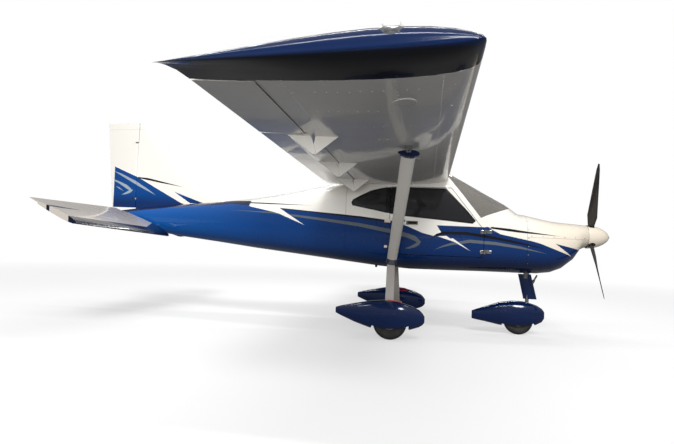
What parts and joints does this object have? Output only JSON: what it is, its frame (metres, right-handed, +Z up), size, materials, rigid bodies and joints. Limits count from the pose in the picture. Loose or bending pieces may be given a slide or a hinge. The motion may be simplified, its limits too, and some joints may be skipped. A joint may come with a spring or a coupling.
{
  "type": "microlight aircraft",
  "caption": "High-wing, strut-braced microlight aircraft with a side-by-side cabin, nose propeller, all-moving tailplane, spatted tricycle gear and opening doors.",
  "frame": {"origin": "on the floor, below the middle of the bounding box", "axes": "+X to the nose, +Y to the left wing tip, +Z up; wings level, all three tyres on the floor"},
  "size_m": [6.368, 8.7018, 2.486],
  "materials": {
    "white_paint": "gloss",
    "blue_paint": "gloss metallic",
    "navy_paint": "gloss metallic",
    "light_paint": "gloss",
    "engine_metal": "matt",
    "steel": "satin",
    "hub_metal": "satin",
    "blade": "satin",
    "clear_glass": "clear",
    "dark_glass": "tinted",
    "panel_plastic": "matt",
    "carpet": "matt",
    "seat_cover": "matt",
    "rubber": "matt",
    "wheel_metal": "satin"
  },
  "bodies": {
    "airframe": {"cabin_shell": "white_paint", "tail_cone": "blue_paint", "upper_cowling": "white_paint", "lower_cowling": "navy_paint", "engine_block": "engine_metal", "propeller_shaft": "steel", "exhaust_pipe": "steel", "windshield": "clear_glass", "quarter_windows": "dark_glass", "door_hinges": "steel", "instrument_panel": "panel_plastic", "cabin_floor": "carpet", "right_seat": "seat_cover", "left_seat": "seat_cover", "right_wing": "white_paint", "left_wing": "white_paint", "wing_tips": "blue_paint", "wing_root_fairings": "white_paint", "wing_struts": "light_paint", "strut_cuffs": "blue_paint", "tie_down_lugs": "steel", "fin": "white_paint", "rudder_hinges": "steel", "stabilator_bearings": "steel", "main_gear_legs": "white_paint", "main_axles": "steel", "main_wheel_pants": "navy_paint", "nose_leg_bearing": "steel"},
    "propeller": {"propeller_hub": "hub_metal", "propeller_blades": "blade", "spinner": "white_paint"},
    "right_main_wheel": {"right_tyre": "rubber", "right_rim": "wheel_metal"},
    "left_main_wheel": {"left_tyre": "rubber", "left_rim": "wheel_metal"},
    "rudder": {"rudder": "white_paint"},
    "nose_gear": {"nose_leg": "steel", "nose_leg_fairing": "navy_paint", "nose_wheel_pant": "navy_paint"},
    "nose_wheel": {"nose_tyre": "rubber", "nose_rim": "wheel_metal"},
    "left_aileron": {"left_aileron": "white_paint"},
    "right_aileron": {"right_aileron": "white_paint"},
    "left_flap": {"left_flap": "white_paint"},
    "right_flap": {"right_flap": "white_paint"},
    "stabilator": {"stabilator": "white_paint", "stabilator_tube": "steel"},
    "stabilator_tab": {"stabilator_tab": "light_paint"},
    "right_door": {"right_door": "navy_paint", "right_door_window": "dark_glass", "right_door_hinges": "steel"},
    "left_door": {"left_door": "navy_paint", "left_door_window": "dark_glass", "left_door_hinges": "steel"}
  },
  "joints": [
    {"name": "propeller_spin", "type": "hinge", "parent": "airframe", "child": "propeller", "pos_m": [2.969, 0, 1.169], "axis": [1, 0, 0], "continuous": true},
    {"name": "right_wheel_spin", "type": "hinge", "parent": "airframe", "child": "right_main_wheel", "pos_m": [0.763, -0.918, 0.175], "axis": [0, 1, 0], "continuous": true},
    {"name": "left_wheel_spin", "type": "hinge", "parent": "airframe", "child": "left_main_wheel", "pos_m": [0.763, 0.918, 0.175], "axis": [0, 1, 0], "continuous": true},
    {"name": "rudder_turn", "type": "hinge", "parent": "airframe", "child": "rudder", "pos_m": [-2.751, 0, 1.5], "axis": [0, 0, 1], "range_deg": [-25, 25]},
    {"name": "nose_steer", "type": "hinge", "parent": "airframe", "child": "nose_gear", "pos_m": [2.294, 0, 0.5], "axis": [0, 0, 1], "range_deg": [-20, 20]},
    {"name": "nose_wheel_spin", "type": "hinge", "parent": "nose_gear", "child": "nose_wheel", "pos_m": [2.199, 0, 0.165], "axis": [0, 1, 0], "continuous": true},
    {"name": "left_aileron_turn", "type": "hinge", "parent": "airframe", "child": "left_aileron", "pos_m": [0.27276, 2.98237, 1.77394], "axis": [0, 0.9998, 0.0209], "range_deg": [-18, 18]},
    {"name": "right_aileron_turn", "type": "hinge", "parent": "airframe", "child": "right_aileron", "pos_m": [0.27276, -2.98237, 1.77394], "axis": [0, 0.9998, -0.0209], "range_deg": [-18, 18]},
    {"name": "left_flap_turn", "type": "hinge", "parent": "airframe", "child": "left_flap", "pos_m": [0.31917, 0.82419, 1.56902], "axis": [0, -0.9998, -0.0209], "range_deg": [0, 38]},
    {"name": "right_flap_turn", "type": "hinge", "parent": "airframe", "child": "right_flap", "pos_m": [0.31917, -0.82419, 1.56902], "axis": [0, -0.9998, 0.0209], "range_deg": [0, 38]},
    {"name": "stabilator_turn", "type": "hinge", "parent": "airframe", "child": "stabilator", "pos_m": [-2.364, 0, 1.097], "axis": [0, -1, 0], "range_deg": [0, 22]},
    {"name": "stabilator_tab_turn", "type": "hinge", "parent": "stabilator", "child": "stabilator_tab", "pos_m": [-2.78058, 0, 1.28247], "axis": [0, -1, 0], "range_deg": [0, 14]},
    {"name": "left_door_swing", "type": "hinge", "parent": "airframe", "child": "left_door", "pos_m": [1.743, 0.54908, 1.06], "axis": [0, 0, -1], "range_deg": [0, 75]},
    {"name": "right_door_swing", "type": "hinge", "parent": "airframe", "child": "right_door", "pos_m": [1.743, -0.54908, 1.06], "axis": [0, 0, 1], "range_deg": [0, 75]}
  ],
  "couplings": [
    {"joint": "right_aileron_turn", "follows": "left_aileron_turn", "ratio": -1},
    {"joint": "right_flap_turn", "follows": "left_flap_turn", "ratio": 1},
    {"joint": "stabilator_tab_turn", "follows": "stabilator_turn", "ratio": 0.6},
    {"joint": "nose_steer", "follows": "rudder_turn", "ratio": -0.8}
  ]
}
